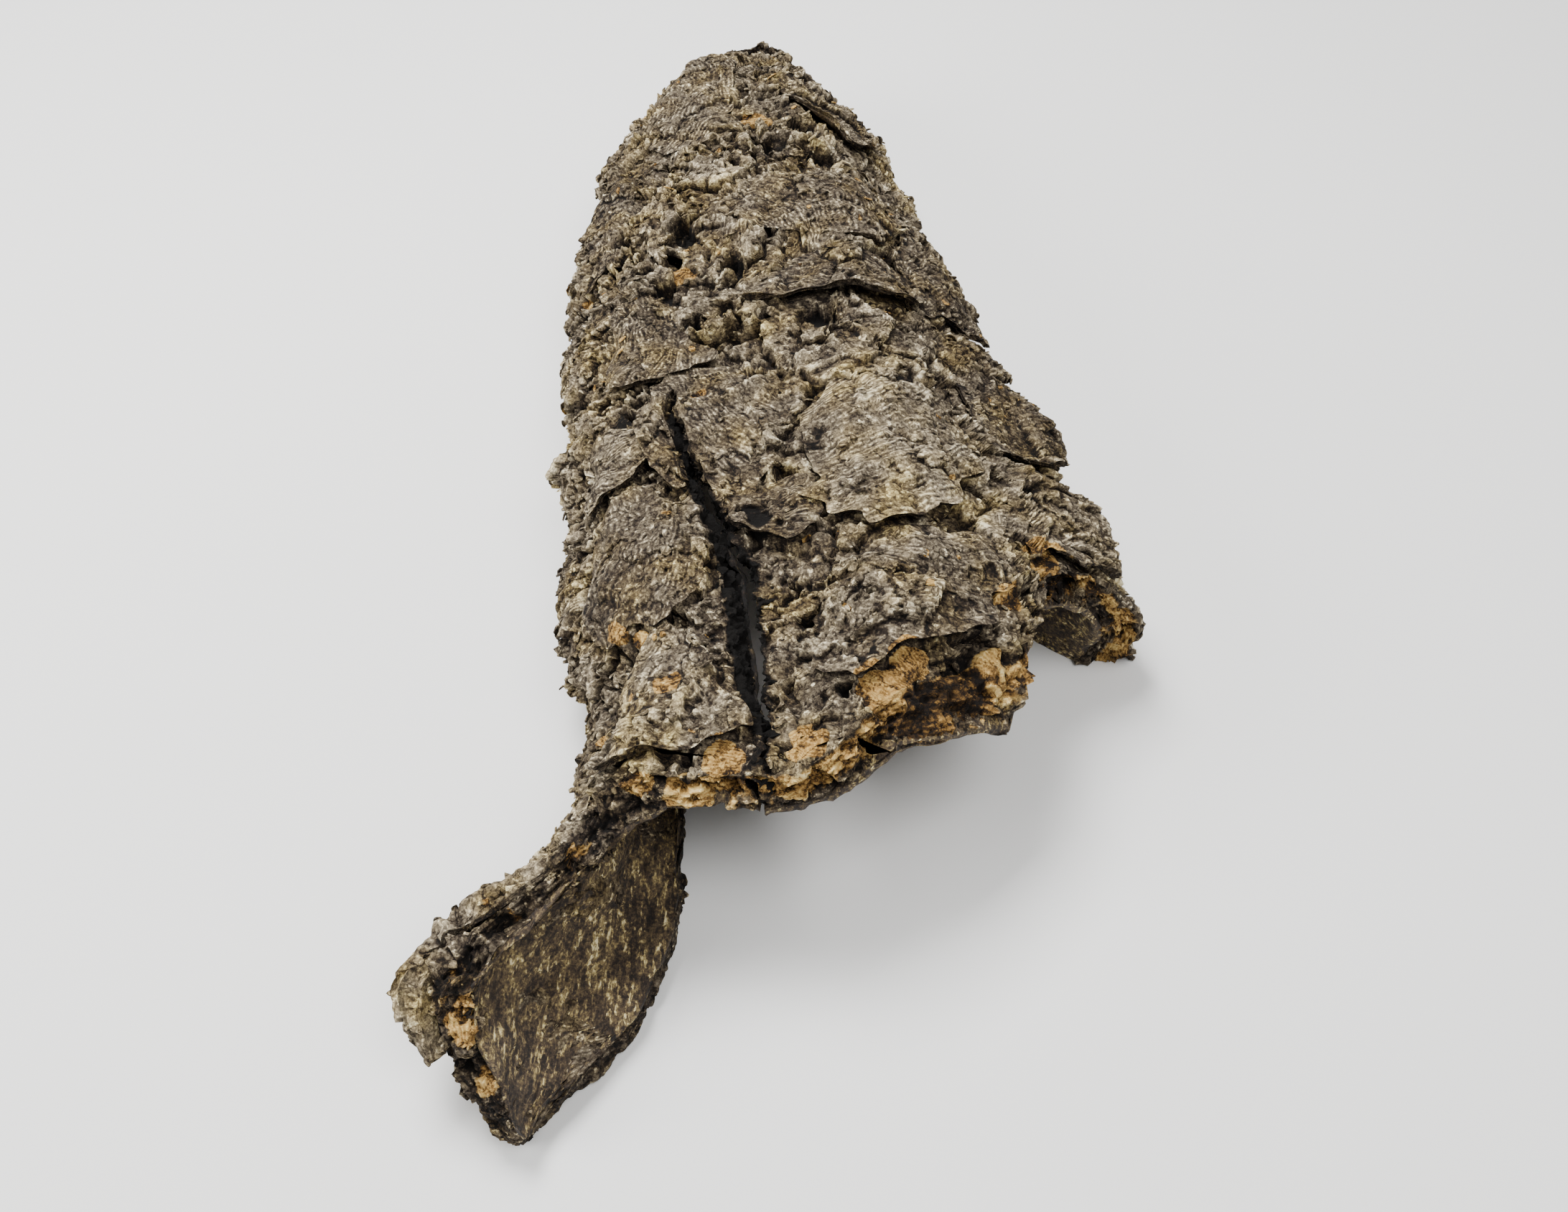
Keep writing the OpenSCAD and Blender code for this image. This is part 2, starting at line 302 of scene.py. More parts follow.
# Holes through the weathered back, where pieces have fallen out: place, radius and depth, in millimetres
VOIDS = [
    (3, 220, 94, 12, 13), (-15, 202, 99, 8, 10), (12, 194, 94, 8, 11), (-63, 114, 99, 10, 12),
    (-95, 113, 93, 5, 9), (-34, 85, 103, 7, 12), (-70, 69, 101, 8, 13), (-82, 86, 98, 5, 10),
    (-86, 54, 105, 4, 8), (-47, 62, 103, 5, 10), (-22, 41, 109, 4, 9), (7, 36, 116, 11, 13),
    (-54, 37, 103, 5, 9), (45, 115, 100, 7, 8), (48, 104, 100, 6, 8), (-78, 16, 106, 4, 8),
    (-83, -27, 101, 6, 11), (39, 6, 113, 6, 9), (49, -13, 114, 6, 10), (4, -54, 120, 6, 12),
    (3, -64, 120, 4, 8), (-20, -98, 113, 9, 13), (40, -137, 120, 5, 11), (26, -146, 118, 5, 9),
    (71, -128, 115, 5, 9), (-1, -152, 105, 4, 8), (26, -176, 116, 5, 13), (66, -177, 106, 9, 13),
    (103, -66, 92, 7, 10), (14, -190, 108, 4, 8), (49, -196, 105, 6, 11), (36, -204, 104, 5, 10),
    (-116, -63, 60, 5, 8), (120, -20, 60, 6, 9), (98, 60, 64, 6, 9), (70, 150, 60, 7, 9),
    (-128, 30, 60, 6, 9), (-112, 190, 60, 7, 9),
]
# Places of the near end where the cork has rotted dark brown, and places where it is sound, with their radius
ROTTED = [(57, -194, 103, 17), (40, -202, 97, 9), (76, -186, 99, 10), (100, -130, 80, 30)]
SOUND = [
    (-4, -217, 100, 17), (24, -203, 106, 10), (52, -180, 112, 6), (84, -176, 96, 7), (-47, -229, 95, 11),
    (-130, -308, 56, 12), (-120, -325, 34, 9), (-112, -282, 80, 6),
]
# Places where the weathered back is broken away and the clean cork shows: place and radius, in millimetres
SCARS = [
    (-137, -294, 74, 9), (-84, -144, 87, 8), (-74, -152, 90, 5), (-58, -184, 105, 9), (-70, -186, 101, 6),
    (-68, -225, 98, 7), (-33, -216, 101, 9), (33, -192, 112, 13), (0, -212, 104, 8), (106, -104, 88, 9),
    (88, -134, 104, 8), (-26, 229, 97, 8), (-120, 154, 78, 7), (-62, 82, 100, 6), (8, -46, 122, 5),
    (-51, -18, 110, 5), (42, -178, 112, 8), (79, -172, 100, 8), (44, 228, 74, 5), (-118, 96, 66, 5),
    (122, 20, 50, 6), (-90, 268, 70, 6),
]


def spots(points, places, raggedness, grain):
    """How far in millimetres each point lies inside the nearest of the places, and that place's last number.
    """
    ragged = points + raggedness * drift(points, grain, 2.0, shift=grain)
    inside = np.full(len(points), -1e3)
    last = np.zeros(len(points))
    for x, y, z, radius, *rest in places:
        here = radius - np.linalg.norm(ragged - (x, y, z), axis=1)
        closer = here > inside
        inside = np.where(closer, here, inside)
        last = np.where(closer, rest[0] if rest else 0.0, last)
    return inside, last


# The inner skin's smoothed surface, from which heights in the cork are measured
skin_tree = tree_of(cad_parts["inner_skin"].data)
datum = smooth_copy("inner_skin", "datum", 2)
datum_tree = tree_of(datum.data)
bpy.data.objects.remove(datum)

cork = smooth_copy("cork_layer", "cork")
_, from_skin = nearest(skin_tree, read(cork.data.polygons, "center", 3) / MM)
on_skin = nearest(skin_tree, read(cork.data.vertices, "co", 3) / MM)[1] < 0.3
reaches_skin = np.array([on_skin[list(face.vertices)].any() for face in cork.data.polygons])
kinds = np.where(from_skin < 0.4, HIDDEN, np.where(reaches_skin, BROKEN, WEATHERED))
cork.data.polygons.foreach_set("material_index", kinds)
subdivide_smooth(cork, 2)
subdivide_flat(cork, read(cork.data.polygons, "material_index", kind=int) != HIDDEN, 3)
CELL = 1.1

bark = cork.data
bark_points, bark_normals = read(bark.vertices, "co", 3) / MM, read(bark.vertex_normals, "vector", 3)
bark_edges = read(bark.edges, "vertices", 2, int)
outward, above_skin = nearest(datum_tree, bark_points)
hidden = step(share_of_kind(bark, HIDDEN), 0.0, 0.4)
broken = evened(bark_edges, share_of_kind(bark, BROKEN), 1.2, CELL)

# ---------------------------------------------------------------- plates: where they lie
# Each plate of dead outer bark lies on the cork. Its outline and its height are measured from its CAD node,
# point by point on the cork's surface, and the outline is made ragged. The cork swells up to the edges that
# are grown in.

# For each plate: the way its free edge faces, its curl, the middle of its growth lines seen from its own
# middle, the lines' spacing, all in millimetres, how crumbly it is and how pale. The paleness is partly
# painted
# light: a plate whose side lies in shade, as the tongue corner plate's does, is made paler. The edges of a
# plate paler than 1 take the tone of its top; the edges of the others are painted darker, as shade, with some
# tan.
PLATES = {
    # Painted light: this plate's paleness above 1 lifts a side that lies in shade.
    "tongue_corner_plate": ((-0.3, -0.9, 0.1), 0.0, (60, 30, 10), 3.4, 0.1, 1.15),
    "tongue_neck_plate": ((-1, -0.2, -0.5), 1.0, (40, -60, 0), 2.8, 0.6, 0.9),
    "front_left_plate": ((0.1, -1, 0), 1.5, (-30, 60, 0), 2.8, 0.9, 0.9),
    "left_lobe_plate": ((-1, 0.2, -0.5), 0.5, (-90, 10, 0), 2.8, 0.2, 0.35),
    "split_flap": ((0.3, -1, 0), 3.5, (-12, 55, 0), 2.6, 0.1, 0.65),
    "split_wedge_plate": ((-1, -0.3, 0), 1.5, (70, 50, 0), 2.7, 0.5, 0.5),
    "curled_lip": ((-0.6, -0.7, 0), 4.0, (-10, 30, 0), 2.4, 0.35, 0.5),
    "centre_plate": ((0.2, -1, 0), 2.0, (-55, 75, 0), 3.0, 0.25, 1.0),
    "front_centre_plate": ((0.2, -1, 0), 2.0, (10, 60, 0), 2.8, 0.6, 0.6),
    "right_lobe_plate": ((0.2, -1, -0.3), 1.0, (-50, 30, 20), 2.8, 0.9, 0.6),
    "right_edge_plate": ((0.9, -0.4, -0.5), 1.5, (-50, 60, 0), 2.8, 0.8, 0.35),
    "ledge_plate": ((0.1, -1, 0), 3.0, (0, 60, 0), 2.8, 0.6, 0.4),
    "ridged_plate": ((0.2, -1, 0), 1.0, (-80, 0, 0), 2.6, 0.1, 0.45),
    "crown_plate": ((1, 0, 0), 2.0, (-60, -40, 0), 2.8, 0.3, 0.4),
    "left_brow_plate": ((-1, 0, -0.4), 1.0, (60, 0, 0), 2.8, 0.8, 0.35),
    "right_brow_plate": ((0.9, -0.4, -0.4), 1.5, (-60, 20, 0), 2.8, 0.6, 0.35),
    "far_tip_plate": ((0.4, 1, 0), 0.5, (-100, 10, 0), 2.8, 0.15, 0.55),
    "far_crest_plate": ((0.4, -1, 0), 2.0, (-10, 40, 0), 2.8, 1.0, 0.55),
}


def plate_on_bark(node, free_way):
    """Where a plate lies on the cork: the cork's vertices near it, and at each of them the distance in from
    its ragged edge, the height of its top and of its underside, how much the edge there is the free one, and
    the share of the bark close by that it covers."""
    low, high = (np.array(corner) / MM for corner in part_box(node))
    beside = np.all((bark_points > low - 16) & (bark_points < high + 16), axis=1)
    near = np.flatnonzero(beside & (hidden < 0.5) & (broken < 0.45))
    place, normal = bark_points[near], bark_normals[near]
    tree = tree_of(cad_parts[node].data)
    top, under, hit = np.zeros(len(near)), np.zeros(len(near)), np.zeros(len(near))
    for i, (p, n) in enumerate(zip((place * MM).tolist(), normal.tolist())):
        p, n = Vector(p), Vector(n)
        if tree.find_nearest(p, 16 * MM)[0] is None:
            continue
        above = tree.ray_cast(p + n * 30 * MM, -n, 36 * MM)
        if above[0] is not None:
            below = tree.ray_cast(p - n * 5 * MM, n, 40 * MM)
            top[i] = 30 - above[3] / MM
            under[i] = below[3] / MM - 5 if below[0] is not None else 0.0
            hit[i] = 1.0
    local = np.full(len(bark_points), -1)
    local[near] = np.arange(len(near))
    edges = local[bark_edges]
    edges = edges[(edges >= 0).all(axis=1)]
    share = evened(edges, hit, 4.5, CELL)
    fine = np.maximum(evened(edges, hit, 3.0, CELL), 1e-3)
    top = evened(edges, top * hit, 3.0, CELL) / fine
    under = evened(edges, under * hit, 3.0, CELL) / fine
    inside = 11.0 * (share - 0.5) + 1.7 * noise(place, 15, 3.0, shift=2.7)
    inside += 0.7 * noise(place, 4, 1.0, shift=1.9)
    inside = np.where(share < 0.12, -9.0, inside)
    way = np.array(free_way) / np.linalg.norm(free_way)
    along = (place - place[hit > 0].mean(axis=0)) @ way
    freedom = step(along / np.abs(along[hit > 0]).max(), -0.15, 0.5)
    return near, inside, top, np.maximum(under, 0), freedom, share


plate_fields = {}
limit = np.full(len(bark_points), 99.0)
filling = np.zeros(len(bark_points))
covered = np.zeros(len(bark_points))
for node, (free_way, curl, *_) in PLATES.items():
    plate_fields[node] = plate_on_bark(node, free_way)
    near, inside, top, under, freedom, share = plate_fields[node]
    lift = under + curl * freedom * (1 - step(inside, 0.0, 9.0))
    grown = 4.5 * (1 - freedom)
    limit[near] = np.minimum(limit[near], lift - 0.9 + 12 * (1 - step(inside, grown - 2.5, grown + 0.3)))
    swelling = 0.9 * np.clip(top, 0, 9) * np.clip(2.0 * share, 0, 1) * (1 - freedom)
    filling[near] = np.maximum(filling[near], swelling)
    covered[near] = np.maximum(covered[near], step(inside - grown, 0.0, 3.0))

# ---------------------------------------------------------------- cork layer: its torn surface
# The cork's back is torn as the relief says, with holes and scars. Its broken ends, where the bark came
# apart, are rough crumbling cork, sound and tan in some places and rotted brown in others.

# The blocks that the cork is cut into, each with the y of its far side, where nothing overhangs
CUTS = {"cork_tongue": -214, "cork_mouth": -115, "cork_split": -3, "cork_middle": 95, "cork_upper": 178,
        "cork_brow": 245}

relief, lean, growth, loose = torn_relief(bark_points, bark_normals, 1.0)
void, void_depth = spots(bark_points, VOIDS, 4.6, 9.0)
void = step(void, -0.4, 1.5)
scar, _ = spots(bark_points, SCARS, 4.0, 14.0)
scar = step(scar, -0.6, 0.6)
layers = np.abs(np.sin(math.pi * (above_skin + 1.6 * noise(bark_points, 12, 2.0, shift=3.3)) / 2.3)) ** 0.8
rough = bark_points + 3 * drift(bark_points, 9, 2.0)
chip_offset, chip, chip_edge = cells(rough, (15, 12, 7), shift=1.4)
crumb_offset, crumb, _ = cells(rough + 1.2 * drift(bark_points, 3, 1.0), (5, 4.4, 3), shift=6.4)
torn = 2.6 * noise(bark_points, 17, 2.0, shift=1.1) + 0.8 * noise(bark_points, 2.6, 3.0, shift=2.1)
torn += 1.1 * layers
torn += 4.0 * (chip[:, 0] - 0.5) + 0.55 * np.einsum("ij,ij->i", chip_offset, chip - 0.5)
torn += 2.2 * (crumb[:, 0] - 0.5) + 0.9 * np.einsum("ij,ij->i", crumb_offset, crumb - 0.5)
torn -= 0.9 * (1 - step(chip_edge, 0, 0.8)) + 3.0 * (chip[:, 1] > 0.8)
rotted, sound = (step(spots(bark_points, places, 4.0, 11.0)[0], -3.0, 3.0) for places in (ROTTED, SOUND))
rot = step(0.55 * noise(bark_points, 15, 3.0, shift=9.1) + rotted - 1.2 * sound, 0.03, 0.43) * broken
torn -= 2.2 * rot
foot = (bark_points[:, 0] < -30) * (1 - step(bark_points[:, 2], 22, 44))
torn *= 1 - 0.6 * foot
body = (1 - broken) * (1 - hidden)
relief = relief * (1 - scar) + scar * (-2.4 + 0.9 * layers) + filling * (1 - covered)
unholed = (1 - broken) * relief + broken * torn
relief = np.minimum(np.clip(unholed - (1 - broken) * void_depth * void, -12.5, 9), limit)
relief = np.where(broken < 0.5, np.maximum(relief, 4.0 - above_skin), relief)
relief = np.where(covered > 0.5, np.maximum(relief, -2.0), relief) * (1 - hidden)
lean *= (body * (1 - 0.5 * void) * (1 - covered))[:, None]
for y in CUTS.values():
    lean *= step(np.abs(bark_points[:, 1] - y), 1.0, 5.0)[:, None]
torn_points = settle(bark_points, outward, relief[:, None] * bark_normals + lean)
bark.vertices.foreach_set("co", (torn_points * MM).astype(np.float32).ravel())
bark.update()

# Painted light and shade: the relief's crests are made lighter and its hollows darker.
hollow = unholed - evened(bark_edges, unholed, 1.8, CELL)
valley = unholed - evened(bark_edges, unholed, 6.0, CELL)
crest = np.clip(0.30 * hollow + 0.13 * valley, -1, 1) * (1 - 0.6 * hidden)
near_end = step(-bark_points[:, 1], 60, 110) * step(-bark_normals[:, 1], -0.1, 0.4) * (1 - foot)
# The broken walls of the split are painted near black, as shade, and kept from turning tan.
in_split = np.all((bark_points > (-78, -222, 70)) & (bark_points < (-4, -15, 140)), axis=1)
in_split = evened(bark_edges, in_split * 1.0, 3.0, CELL) * broken
outer_share = step(above_skin + 3 * noise(bark_points, 14, 2.0, shift=8.2), 3.5, 9.0)
patch = 0.30 * noise(bark_points, 24, 2.0, shift=6.6)
neck = step(bark_points[:, 1], -290, -268) * step(-bark_points[:, 1], 165, 195)
neck *= step(-bark_points[:, 0], 30, 50)
bare = broken * (0.03 + near_end * (0.36 + 0.34 * outer_share + patch - 0.42 * neck))
bare *= 1 - 0.45 * step(-bark_points[:, 1], 240, 262)
bare = np.maximum(bare, broken * near_end * np.maximum(0.75 * rot, 0.85 * sound))
bare = np.maximum(scar, bare) * (1 - in_split)
# The broken faces are made darker through their paleness.
keep_values(bark, above=above_skin, rot=rot, crest=crest, growth=np.where(broken > 0.5, above_skin, growth),
            loose=loose, bare=bare, pale=0.5 - 0.9 * broken, deep=np.maximum(void * body, 1.2 * in_split))


# ---------------------------------------------------------------- cork: its material
# Outer cork that has weathered for years: dead cells with air in them, torn by growth. It is matt all over.
# Rain and dust leave it grey. Its crests are painted pale, as highlights, and its cracks and holes dark, as
# shade. Yearly growth shows as fine lines 2 to 3 mm apart, with painted highlights on their ridges and
# painted shade in their grooves. Where it is freshly broken it is tan, with darker layers.


def linear(hex_colour):
    """An sRGB hex colour as linear RGBA."""
    parts = [int(hex_colour[i:i + 2], 16) / 255 for i in (1, 3, 5)]
    return [p / 12.92 if p <= 0.04045 else ((p + 0.055) / 1.055) ** 2.4 for p in parts] + [1.0]


def new_material(name):
    material = bpy.data.materials.new(name)
    material.use_nodes = True
    material.node_tree.nodes.clear()
    return material, material.node_tree


def add(tree, kind, *first, out=0, stops=(), **details):
    """Adds a node and returns one of its outputs. The first inputs come in order. After them a name in small
    letters is a setting, and one in capitals is an input, with _ for a space, or _ and the input's number. An
    input is a number, a colour or another node's output. Stops are a colour ramp's places and hex colours."""
    node = tree.nodes.new("ShaderNode" + kind)
    inputs = dict(enumerate(first))
    for name, value in details.items():
        if name[0].islower():
            setattr(node, name, value)
        else:
            inputs[int(name[1:]) if name[0] == "_" else name.replace("_", " ")] = value
    for name, value in inputs.items():
        if isinstance(value, bpy.types.NodeSocket):
            tree.links.new(value, node.inputs[name])
        else:
            node.inputs[name].default_value = value
    if stops:
        elements = node.color_ramp.elements
        for _ in stops[2:]:
            elements.new(0.5)
        for element, (position, colour) in zip(elements, stops):
            element.position = position
            element.color = linear(colour)
    return node.outputs[out] if node.outputs else None


def weathered_cork(name):
    material, tree = new_material(name)
    place = add(tree, "TexCoord", out="Object")
    crest, growth, loose, bare, pale, deep, rot = (
        add(tree, "Attribute", attribute_name=value, out="Fac")
        for value in ("crest", "growth", "loose", "bare", "pale", "deep", "rot"))

    # noises: the size of each one's lumps in millimetres, its detail and its roughness
    noises = ((48, 3, 0.5), (22, 3, 0.5), (15, 2, 0.5), (13, 5, 0.6), (11, 2, 0.5), (10, 6, 0.65),
              (7, 5, 0.6), (3.2, 3, 0.5), (3, 8, 0.72), (2.4, 4, 0.6), (2, 3, 0.5), (1.1, 3, 0.6))
    patches, hue, firmness, dirt, slab_gaps, mottle, folds, groove_gaps, speck, pores, line_gaps, grit = (
        add(tree, "TexNoise", Vector=place, Scale=1000 / size, Detail=detail, Roughness=roughness)
        for size, detail, roughness in noises)

    # chips 3.4 mm wide, each with its own tone, and slabs 15 mm wide, with their edges
    bend = add(tree, "TexNoise", Vector=place, Scale=1000 / 6, Detail=4, Roughness=0.6, out="Color")
    bent = add(tree, "VectorMath", bend, (6 * MM,) * 3, place, operation="MULTIPLY_ADD")
    chip_size, slab_size = 3.4, 15
    chip_edge, slab_edge = (
        add(tree, "TexVoronoi", feature="DISTANCE_TO_EDGE", Vector=bent, Scale=1000 / size)
        for size in (chip_size, slab_size))
    chip_edge = add(tree, "MapRange", chip_edge, 0.4 / chip_size, 0)
    slab_edge = add(tree, "MapRange", slab_edge, 0.6 / slab_size, 0)
    kept_edge = add(tree, "MapRange", slab_gaps, 0.5, 0.667)
    slab_edge = add(tree, "Math", slab_edge, kept_edge, operation="MULTIPLY")
    chip = add(tree, "TexVoronoi", Vector=bent, Scale=1000 / chip_size, out="Color")
    chip = add(tree, "SeparateColor", chip)
    crease = add(tree, "Math", add(tree, "Math", folds, 0.5, operation="SUBTRACT"), operation="ABSOLUTE")
    crease = add(tree, "MapRange", crease, 1 / 22, 0)

    # growth lines, 2.2 mm apart, which break off into dashes where the bark is firm
    growth = add(tree, "Math", speck, 0.8, growth, operation="MULTIPLY_ADD")
    growth = add(tree, "Math", mottle, 3.0, growth, operation="MULTIPLY_ADD")
    ridge = add(tree, "Math", growth, 1.1, operation="PINGPONG")
    ridge = add(tree, "Math", ridge, 1.1, operation="DIVIDE")
    clear = add(tree, "MapRange", firmness, 0.4, 0.6, 0.25, 1)
    firm = add(tree, "Math", add(tree, "MapRange", loose, 1, 0), clear, operation="MULTIPLY")
    line = add(tree, "Math", ridge, 2.5, operation="POWER")
    groove = add(tree, "Math", add(tree, "Math", 1, ridge, operation="SUBTRACT"), 3, operation="POWER")
    for share in (add(tree, "MapRange", line_gaps, 0.42, 0.587), firm):
        line = add(tree, "Math", line, share, operation="MULTIPLY")
    for share in (add(tree, "MapRange", groove_gaps, 0.4, 0.567), firm):
        groove = add(tree, "Math", groove, share, operation="MULTIPLY")

    # tone, from 0 in the cracks to 1 on the crests: painted shade in the cracks and painted highlights on the
    # crests
    tone = add(tree, "Math", crest, 0.27, 0.42, operation="MULTIPLY_ADD")
    for part, amount in ((mottle, 0.40), (speck, 0.62), (grit, 0.42), (patches, 0.36), (pale, 0.20)):
        part = add(tree, "Math", part, 0.5, operation="SUBTRACT")
        tone = add(tree, "Math", part, amount, tone, operation="MULTIPLY_ADD")
    chipped = add(tree, "Math", firm, -0.75, 1.0, operation="MULTIPLY_ADD")
    pale_chip, pale_speck = add(tree, "MapRange", chip, 0.72, 1.006), add(tree, "MapRange", speck, 0.5, 0.667)
    flecks = add(tree, "Math", pale_chip, pale_speck, operation="MULTIPLY")
    chip_tone = add(tree, "Math", chip, 0.5, operation="SUBTRACT")
    pits = add(tree, "MapRange", pores, 0.56, 0.671)
    # Pale flecks on the raised chips are painted highlights, and the darker chip edges are painted shade
    # between the chips.
    for part, amount in ((flecks, 0.52), (chip_tone, 0.16), (chip_edge, -0.13), (pits, -0.20)):
        part = add(tree, "Math", part, chipped, operation="MULTIPLY")
        tone = add(tree, "Math", part, amount, tone, operation="MULTIPLY_ADD")
    # Bright specks and the ridges of the growth lines are painted highlights; the slab edges, creases and
    # grooves are painted shade in the cracks.
    bright = add(tree, "MapRange", speck, 0.59, 0.715)
    for part, amount in ((bright, 0.20), (slab_edge, -0.30), (crease, -0.13), (line, 0.42), (groove, -0.22)):
        tone = add(tree, "Math", part, amount, tone, operation="MULTIPLY_ADD")
    # Painted shade: holes and the walls of the split are made darker.
    tone = add(tree, "Math", deep, -0.5, tone, operation="MULTIPLY_ADD", use_clamp=True)
    grey = add(tree, "ValToRGB", tone, stops=(
        (0.0, "#080503"), (0.2, "#2a2119"), (0.36, "#554b3d"), (0.5, "#7b705d"), (0.62, "#aa9b80"),
        (0.75, "#e4d5b3"), (0.88, "#fdf3d6")))
    olive = add(tree, "ValToRGB", tone, stops=(
        (0.0, "#080502"), (0.2, "#2c2114"), (0.36, "#57482f"), (0.5, "#7f6e4a"), (0.62, "#b09b69"),
        (0.75, "#e5d08d"), (0.88, "#fbecb4")))
    turn = add(tree, "MapRange", hue, 0.425, 0.675)
    weathered = add(tree, "Mix", turn, data_type="RGBA", _6=grey, _7=olive, out=2)

    # broken cork: tan layers, with dark dirt in between
    clean = add(tree, "Math", add(tree, "MapRange", dirt, 0.53, 0.641), -0.42, 0.60, operation="MULTIPLY_ADD")
    for part, amount in ((mottle, 0.7), (speck, 0.7), (patches, 0.6), (grit, 0.5)):
        part = add(tree, "Math", part, 0.5, operation="SUBTRACT")
        clean = add(tree, "Math", part, amount, clean, operation="MULTIPLY_ADD")
    layer = add(tree, "Math", add(tree, "Math", growth, 0.8, operation="PINGPONG"), 0.4, operation="SUBTRACT")
    # Creases are painted darker, as shade, and crests lighter, as highlights.
    for part, amount in ((layer, 0.22), (crease, -0.25), (rot, -0.34)):
        clean = add(tree, "Math", part, amount, clean, operation="MULTIPLY_ADD")
    clean = add(tree, "Math", crest, 0.16, clean, operation="MULTIPLY_ADD", use_clamp=True)
    tan = add(tree, "ValToRGB", clean, stops=(
        (0.0, "#120b06"), (0.25, "#3a2813"), (0.42, "#7c5c2e"), (0.58, "#b28c50"), (0.75, "#d6b46e"),
        (0.95, "#f2dea4")))
    ragged = bare
    for part, amount in ((speck, 0.5), (mottle, 0.9)):
        part = add(tree, "Math", part, 0.5, operation="SUBTRACT")
        ragged = add(tree, "Math", part, amount, ragged, operation="MULTIPLY_ADD")
    exposed = add(tree, "MapRange", ragged, 3 / 7, 4 / 7)
    colour = add(tree, "Mix", exposed, data_type="RGBA", _6=weathered, _7=tan, out=2)

    height = 0.0
    chip_height = add(tree, "Math", chip, chipped, operation="MULTIPLY")
    for part, amount in ((speck, 1.5), (mottle, 1.2), (grit, 0.7), (chip_height, 0.7), (line, 0.5),
                         (groove, -0.4), (slab_edge, -0.8), (crease, -0.35)):
        height = add(tree, "Math", part, amount, height, operation="MULTIPLY_ADD")
    bump = add(tree, "Bump", Height=height, Strength=1.0, Distance=1.0 * MM)
    surface = add(tree, "BsdfPrincipled", Base_Color=colour, Roughness=0.92, Specular_IOR_Level=0.25,
                  Normal=bump)
    add(tree, "OutputMaterial", surface)
    return material


cork_material = weathered_cork("weathered cork")
bark.materials.clear()
bark.materials.append(cork_material)
bark.polygons.foreach_set("material_index", np.zeros(len(bark.polygons), np.int32))
quads = np.array([p.vertices[:] for p in bark.polygons if len(p.vertices) == 4])
torn_normals = read(bark.vertex_normals, "vector", 3)

# ---------------------------------------------------------------- cork layer: its blocks
# The cork is one grown thing, too finely torn for one mesh. It is cut across into seven blocks that fit
# together with no gap, and each is a closed piece.

HALF_WAY = 7.5  # up the cork's thickness, in millimetres


def close_cut(piece):
    """Closes a piece's cut with triangles that run from the bark's back to its inner face."""
    body = bmesh.new()
    body.from_mesh(piece.data)
    above = body.verts.layers.float["above"]
    open_edges = {edge for edge in body.edges if edge.is_boundary}
    while open_edges:
        edge = open_edges.pop()
        ring = [edge.link_loops[0].vert]
        while True:
            vertex = edge.link_loops[0].link_loop_next.vert
            following = [e for e in vertex.link_edges if e in open_edges and e.link_loops[0].vert is vertex]
            if vertex is ring[0] or not following:
                break
            ring.append(vertex)
            edge = following[0]
            open_edges.remove(edge)
        on_back = [v[above] > HALF_WAY for v in ring]
        turns = [i for i in range(len(ring)) if on_back[i] and not on_back[i - 1]]
        if not turns:
            body.faces.new(ring[::-1])
            continue
        ring = ring[turns[0]:] + ring[:turns[0]]
        back = [v for v in ring if v[above] > HALF_WAY]
        face = [v for v in ring if v[above] <= HALF_WAY][::-1]
        i = j = 0
        while i < len(back) - 1 or j < len(face) - 1:
            if j == len(face) - 1 or i < len(back) - 1 and (
                    (back[i + 1].co - face[j].co).length < (back[i].co - face[j + 1].co).length):
                body.faces.new((back[i + 1], back[i], face[j]))
                i += 1
            else:
                body.faces.new((face[j], face[j + 1], back[i]))
                j += 1
    body.to_mesh(piece.data)
    body.free()


def cut_off(piece, name, y):
    """Cuts off what lies on the near side of y, as a closed piece of its own."""
    block = bpy.data.objects.new(name, piece.data.copy())
    bpy.context.scene.collection.objects.link(block)
    for part, near_side in ((block, False), (piece, True)):
        activate(part)
        bpy.ops.object.mode_set(mode="EDIT")
        bpy.ops.mesh.select_mode(type="VERT")
        bpy.ops.mesh.select_all(action="SELECT")
        bpy.ops.mesh.bisect(plane_co=(0, y * MM, 0), plane_no=(0, 1, 0), use_fill=False,
                            threshold=0.0001 * MM, clear_inner=near_side, clear_outer=not near_side)
        bpy.ops.object.mode_set(mode="OBJECT")
        close_cut(part)
    return block


blocks = [cut_off(cork, name, y) for name, y in CUTS.items()]
cork.name = "cork_far"
for block in blocks + [cork]:
    activate(block)
    bpy.ops.object.shade_smooth_by_angle(angle=math.radians(26))
    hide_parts("cork_layer")
    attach(block, "root")


# ---------------------------------------------------------------- plates
# Plates of dead outer bark, 4 to 9 mm thick, that the growing cork has pushed up and will shed. Each is a
# closed piece: a ridged top, an underside that lies on the cork, and a torn edge that leans inwards.

tops = []


def drop_pinches(faces, count):
    """Leaves out faces that meet others only at a corner, so that the edge is one clean loop."""
    while True:
        sides = np.stack([faces, np.roll(faces, -1, axis=1)], axis=2).reshape(-1, 2)
        key = np.sort(sides, axis=1)
        _, index, times = np.unique(key[:, 0] * count + key[:, 1], return_inverse=True, return_counts=True)
        rim = sides[times[index] == 1]
        pinched = np.flatnonzero(np.bincount(rim.ravel(), minlength=count) > 2)
        if not len(pinched):
            return faces, rim
        faces = faces[~np.isin(faces, pinched).any(axis=1)]


